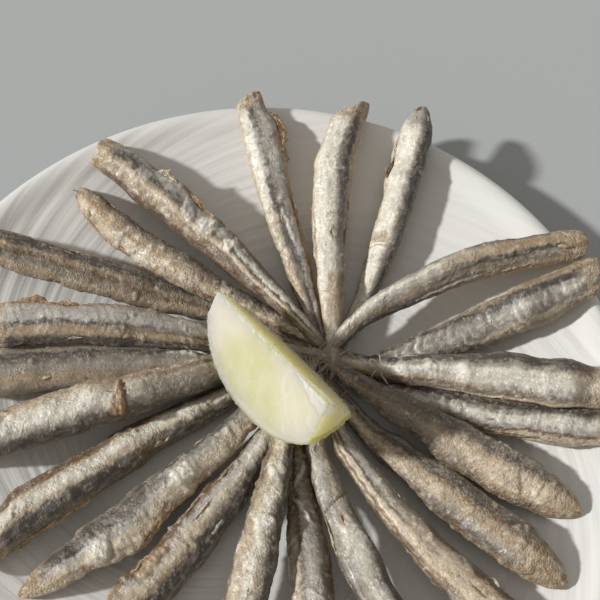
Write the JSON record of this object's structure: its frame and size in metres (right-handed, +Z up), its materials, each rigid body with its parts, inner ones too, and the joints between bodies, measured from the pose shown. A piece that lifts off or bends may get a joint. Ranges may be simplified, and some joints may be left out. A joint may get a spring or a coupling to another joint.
{
  "type": "plate of fried anchovies",
  "caption": "White glazed coupe plate with a fan of floured and fried headless anchovies, their tails meeting near its middle under a wedge of lemon.",
  "frame": {"origin": "under the middle of the plate, on the surface that it stands on", "axes": "+Z up; +X to the right and +Y away from someone sitting at the plate"},
  "size_m": [0.2598, 0.2621, 0.0514],
  "materials": {
    "glaze": "white glaze over fine streaked ridges, glossy, with a smooth bright lip",
    "fried_fish": "floured and fried fish skin, oily: dark blue-grey backs, silver flanks, golden-cream crust with blisters, wrinkles and crumbs",
    "lemon": "moist cut lemon: pale yellow-green pulp, white pith, thin yellow-green rind"
  },
  "bodies": {
    "root": {"plate": "glaze", "anchovy_01": "fried_fish", "anchovy_02": "fried_fish", "anchovy_03": "fried_fish", "anchovy_04": "fried_fish", "anchovy_05": "fried_fish", "anchovy_06": "fried_fish", "anchovy_07": "fried_fish", "anchovy_08": "fried_fish", "anchovy_09": "fried_fish", "anchovy_10": "fried_fish", "anchovy_11": "fried_fish", "anchovy_12": "fried_fish", "anchovy_13": "fried_fish", "anchovy_14": "fried_fish", "anchovy_15": "fried_fish", "anchovy_16": "fried_fish", "anchovy_17": "fried_fish", "anchovy_18": "fried_fish", "anchovy_19": "fried_fish", "anchovy_20": "fried_fish", "anchovy_21": "fried_fish", "anchovy_22": "fried_fish", "lemon_wedge": "lemon"}
  },
  "joints": []
}
